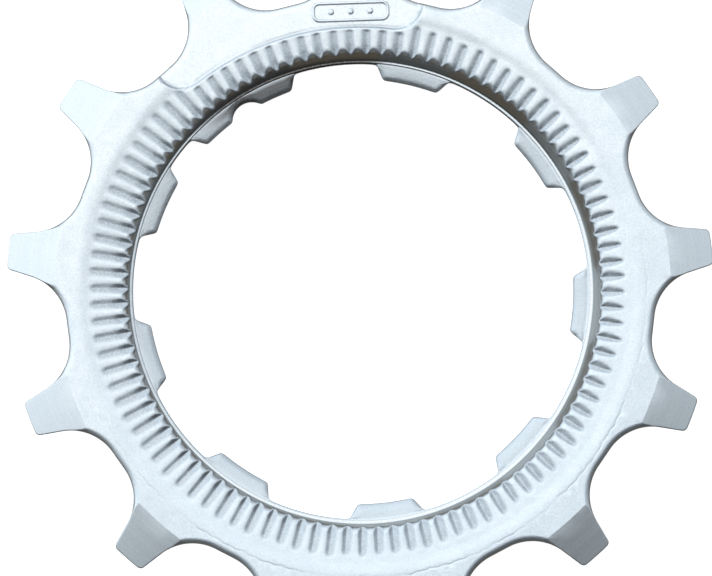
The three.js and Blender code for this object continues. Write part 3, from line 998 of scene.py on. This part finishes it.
def steel_material():
    """Satin steel, with lathe lines where it is turned, brown-grey streaks where it is cut, and
    painted shades on one side of the part, in the grooves and inside the bore.
    """
    steel = bpy.data.materials.new("satin_steel")
    steel.use_nodes = True
    shader = steel.node_tree.nodes["Principled BSDF"]
    n = Nodes(steel.node_tree)
    position = n.add("ShaderNodeTexCoord").outputs["Object"]
    place = n.vector("SCALE", position)
    n.put(place.node.inputs["Scale"], 1 / MM)
    turned, cut, struck, sunk, smoothed, keyed = (n.mask(name) for name in MASKS)

    parts = n.add("ShaderNodeSeparateXYZ", {0: place}).outputs
    from_centre = {axis: n.math("SUBTRACT", parts[axis], BEVEL_RUNOUT[axis]) for axis in (0, 1)}
    radius = n.vector("LENGTH", n.add("ShaderNodeCombineXYZ", from_centre).outputs[0])
    climb = n.math("MULTIPLY", parts[2], LATHE_CLIMB)
    rings = n.add("ShaderNodeCombineXYZ", {0: radius, 1: climb}).outputs[0]
    lathe = n.noise(rings, LATHE_SCALE, detail=2.0, roughness=0.6)
    lathe_wide = n.noise(rings, LATHE_WIDE_SCALE, detail=1.0)

    mottle = n.noise(place, MOTTLE_SCALE, detail=4.0, roughness=0.55, distortion=0.4)
    grain = n.noise(place, GRAIN_SCALE, detail=3.0, roughness=0.6)
    speck = n.noise(place, SPECK_SCALE, detail=2.0, roughness=0.5)
    pepper = n.noise(place, PEPPER_SCALE, detail=2.0, roughness=0.7)
    upright = n.vector("MULTIPLY", place, STREAK_SCALES)
    streak = n.noise(upright, 1.0, detail=3.0, roughness=0.6)

    satin = n.mix(n.ramp(mottle, *NOISE_MIDDLE), SATIN_DARK, SATIN_LIGHT)
    satin = n.mix(n.ramp(grain, 0.35, 0.75, 0, 0.5), satin, SATIN_GRAIN)
    # Painted shade: the satin faces turn darker and bluer towards the lower right.
    satin = n.mix(n.toward(place, *SHADED_LOWER_RIGHT), satin, SATIN_SHADED)
    dull = n.mix(n.ramp(grain, 0.35, 0.65), DULL_DARK, DULL_LIGHT)
    # The grooves and the panel's outline take the dull colour: partly their duller finish, partly
    # painted shade in these recesses, stronger towards the top.
    satin = n.mix(n.math("MULTIPLY", sunk, n.toward(place, *DULL_AND_SHADED_GROOVES)), satin, dull)
    # The panel's floor is lighter: partly its coined finish, partly a painted highlight.
    satin = n.mix(n.math("MULTIPLY", struck, STRUCK_SHARE), satin, STRUCK_STEEL_AND_HIGHLIGHT)
    satin = n.mix(n.math("MULTIPLY", keyed, KEY_DULLNESS), satin, dull)
    # Painted shade: the polished ledge turns darker towards the left.
    polished = n.mix(n.toward(place, *LEDGE_SHADED_LEFT), LEDGE_POLISHED, LEDGE_SHADED)
    satin = n.mix(smoothed, satin, polished)
    from_axis = n.vector("LENGTH", n.vector("MULTIPLY", place, (1, 1, 0)))
    # Painted shade: a dark band along the roots of the keys, where they meet the ledge.
    key_root_shade = n.math("MULTIPLY", n.ramp(from_axis, *ROOT_SHADE_INNER), n.ramp(from_axis, *ROOT_SHADE_OUTER, 1, 0))
    key_root_shade = n.math("MULTIPLY", n.math("MULTIPLY", key_root_shade, keyed), ROOT_SHADE_SHARE)
    satin = n.mix(key_root_shade, satin, dull)
    # Painted shade: the ledge and the keys turn dark brown towards the top of the bore.
    inside_wall = n.math("ADD", keyed, smoothed, clamp=True)
    satin = n.mix(n.math("MULTIPLY", n.toward(place, *SHADED_TOP), inside_wall), satin, SHADE_BROWN)
    # Painted shadow: the ledge and the roots of the keys turn darker brown still at the top, under the
    # wall.
    key_root = n.math("MULTIPLY", keyed, n.ramp(from_axis, *KEY_ROOT_RADII, 0, KEY_ROOT_SHARE))
    under_wall = n.math("ADD", key_root, smoothed, clamp=True)
    satin = n.mix(n.math("MULTIPLY", n.toward(place, *UNLIT), under_wall), satin, UNLIT_BROWN)

    lathed = n.mix(n.ramp(lathe, *NOISE_MIDDLE), LATHED_DARK, LATHED_LIGHT)
    lathed = n.mix(n.ramp(lathe_wide, 0.4, 0.7, 0, 0.15), lathed, SATIN_GRAIN)
    blanked = n.mix(n.ramp(streak, *NOISE_MIDDLE), BLANKED_DARK, BLANKED_LIGHT)
    bored = n.mix(n.ramp(lathe, *NOISE_MIDDLE), BORED_DARK, BORED_LIGHT)
    raw = n.mix(turned, blanked, bored)
    colour = n.mix(turned, satin, lathed)
    colour = n.mix(n.ramp(pepper, 0.4, 0.7, 0, 0.22), colour, PEPPERED)
    n.put(shader.inputs["Base Color"], n.mix(cut, colour, raw))

    least, added = SATIN_ROUGHNESS
    satin_rough = n.math("ADD", least, n.math("MULTIPLY", grain, added))
    least, added = LATHED_ROUGHNESS
    lathed_rough = n.math("ADD", least, n.math("MULTIPLY", lathe, added))
    rough = n.blend(turned, satin_rough, lathed_rough)
    rough = n.blend(smoothed, rough, LEDGE_ROUGHNESS)
    n.put(shader.inputs["Roughness"], n.blend(cut, rough, CUT_ROUGHNESS))
    shader.inputs["Metallic"].default_value = 1

    coarse = n.math("ADD", 1.0, n.math("MULTIPLY", keyed, KEY_COARSENESS))
    satin_bump = n.math("ADD", n.math("MULTIPLY", grain, 1.15), n.math("MULTIPLY", speck, 0.7))
    satin_bump = n.math("MULTIPLY", satin_bump, coarse)
    lathed_bump = n.math("ADD", n.math("MULTIPLY", lathe, 0.3), n.math("MULTIPLY", speck, 0.45))
    lathed_bump = n.math("ADD", lathed_bump, n.math("MULTIPLY", grain, 0.4))
    height = n.blend(turned, satin_bump, lathed_bump)
    bump = n.add("ShaderNodeBump", {"Height": height})
    bump.inputs["Distance"].default_value = BUMP_DISTANCE * MM
    bump.inputs["Strength"].default_value = BUMP_STRENGTH
    n.put(shader.inputs["Normal"], bump.outputs["Normal"])
    return steel


steel = steel_material()

for piece in (body, label):
    piece.data.materials.append(steel)
    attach(piece, "root")
    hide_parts("sprocket")

# ---- floor and camera ----

FLOOR_HALF = 3
FLOOR_DROP = 0.2
FLOOR_GREY = 0.9
FLOOR_ROUGHNESS = 0.9
FLOOR_GLOW = 0.85

corners = [(x * FLOOR_HALF, y * FLOOR_HALF, 0) for x, y in ((-1, -1), (1, -1), (1, 1), (-1, 1))]
floor_mesh = bpy.data.meshes.new("floor")
floor_mesh.from_pydata(corners, [], [(0, 1, 2, 3)])
floor = bpy.data.objects.new("floor", floor_mesh)
floor.location.z = -FLOOR_DROP * MM
bpy.context.collection.objects.link(floor)
white = bpy.data.materials.new("floor_white")
white.use_nodes = True
paint = white.node_tree.nodes["Principled BSDF"]
paint.inputs["Base Color"].default_value = (FLOOR_GREY, FLOOR_GREY, FLOOR_GREY, 1)
paint.inputs["Roughness"].default_value = FLOOR_ROUGHNESS
paint.inputs["Emission Color"].default_value = (1, 1, 1, 1)
paint.inputs["Emission Strength"].default_value = FLOOR_GLOW
floor.data.materials.append(white)
floor.visible_glossy = False
floor.visible_diffuse = False

TARGET = Vector((-0.335, 0.266, FACE_Z)) * MM
CAMERA_DISTANCE = 0.48
CAMERA_LEAN = -0.02
CAMERA_CLIP = 0.01
SENSOR_WIDTH = 36
PICTURE_WIDTH = 712
PICTURE_SCALE = 13.06  # pixels to the millimetre at the front face

camera_data = bpy.data.cameras.new("camera")
camera = bpy.data.objects.new("camera", camera_data)
bpy.context.collection.objects.link(camera)
back = Vector((0.0, CAMERA_LEAN, 1)).normalized()
camera.location = TARGET + back * CAMERA_DISTANCE
across = Vector((0, 1, 0)).cross(back).normalized()
axes = Matrix((across, back.cross(across), back)).transposed()
camera.rotation_euler = axes.to_euler()
camera_data.sensor_width = SENSOR_WIDTH
camera_data.lens = PICTURE_SCALE * CAMERA_DISTANCE / MM * SENSOR_WIDTH / PICTURE_WIDTH
camera_data.clip_start = CAMERA_CLIP
bpy.context.scene.camera = camera
bpy.context.scene.view_settings.view_transform = "Standard"


# ---- light ----

# Direction in the room, and where along it a light or a shade starts and is full.
LIGHT_FRONT = ((-0.166, 0.986, 0), -0.36, -0.08)
LIGHT_SIDE = ((0.92, 0.39, 0), 0.27, 0.6)
HORIZON = ((0, 0, 1), -0.05, 0.2)
ROOM_LIT = ((-0.3, 0.95, 0), -0.5, 0.6)

LIGHT_SIDE_DIM = 0.55
LIGHT_HOT_AIM = (-0.1, 0.12, 1)
LIGHT_HOT_EDGE = (0.962, 0.997)
LIGHT_COLOUR = (0.86, 0.97, 1.05, 1)
LIGHT_HOT_COLOUR = (1.38, 1.37, 1.33, 1)
LIGHT_STRENGTH = 1.42
ROOM_ABOVE = (0.045, 0.05, 0.055, 1)
ROOM_BELOW = (0.105, 0.094, 0.075, 1)
ROOM_BELOW_LIT = (0.165, 0.16, 0.15, 1)


def studio_world():
    """A wide soft light overhead and to the upper left, and a dim brown-grey room round it."""
    world = bpy.data.worlds.new("studio")
    world.use_nodes = True
    n = Nodes(world.node_tree)
    ray = n.add("ShaderNodeTexCoord").outputs["Generated"]
    forward = n.toward(ray, *LIGHT_FRONT)
    side = n.toward(ray, *LIGHT_SIDE)
    above = n.toward(ray, *HORIZON)
    hot = n.toward(ray, Vector(LIGHT_HOT_AIM).normalized(), *LIGHT_HOT_EDGE)
    shade = n.math("SUBTRACT", 1.0, n.math("MULTIPLY", side, LIGHT_SIDE_DIM))
    level = n.math("MULTIPLY", n.math("MULTIPLY", forward, shade), above)
    below = n.mix(n.toward(ray, *ROOM_LIT), ROOM_BELOW, ROOM_BELOW_LIT)
    room = n.mix(above, below, ROOM_ABOVE)
    colour = n.mix(level, room, LIGHT_COLOUR)
    warm = n.mix(hot, colour, LIGHT_HOT_COLOUR)
    background = world.node_tree.nodes["Background"]
    n.put(background.inputs["Color"], warm)
    background.inputs["Strength"].default_value = LIGHT_STRENGTH
    return world


bpy.context.scene.world = studio_world()
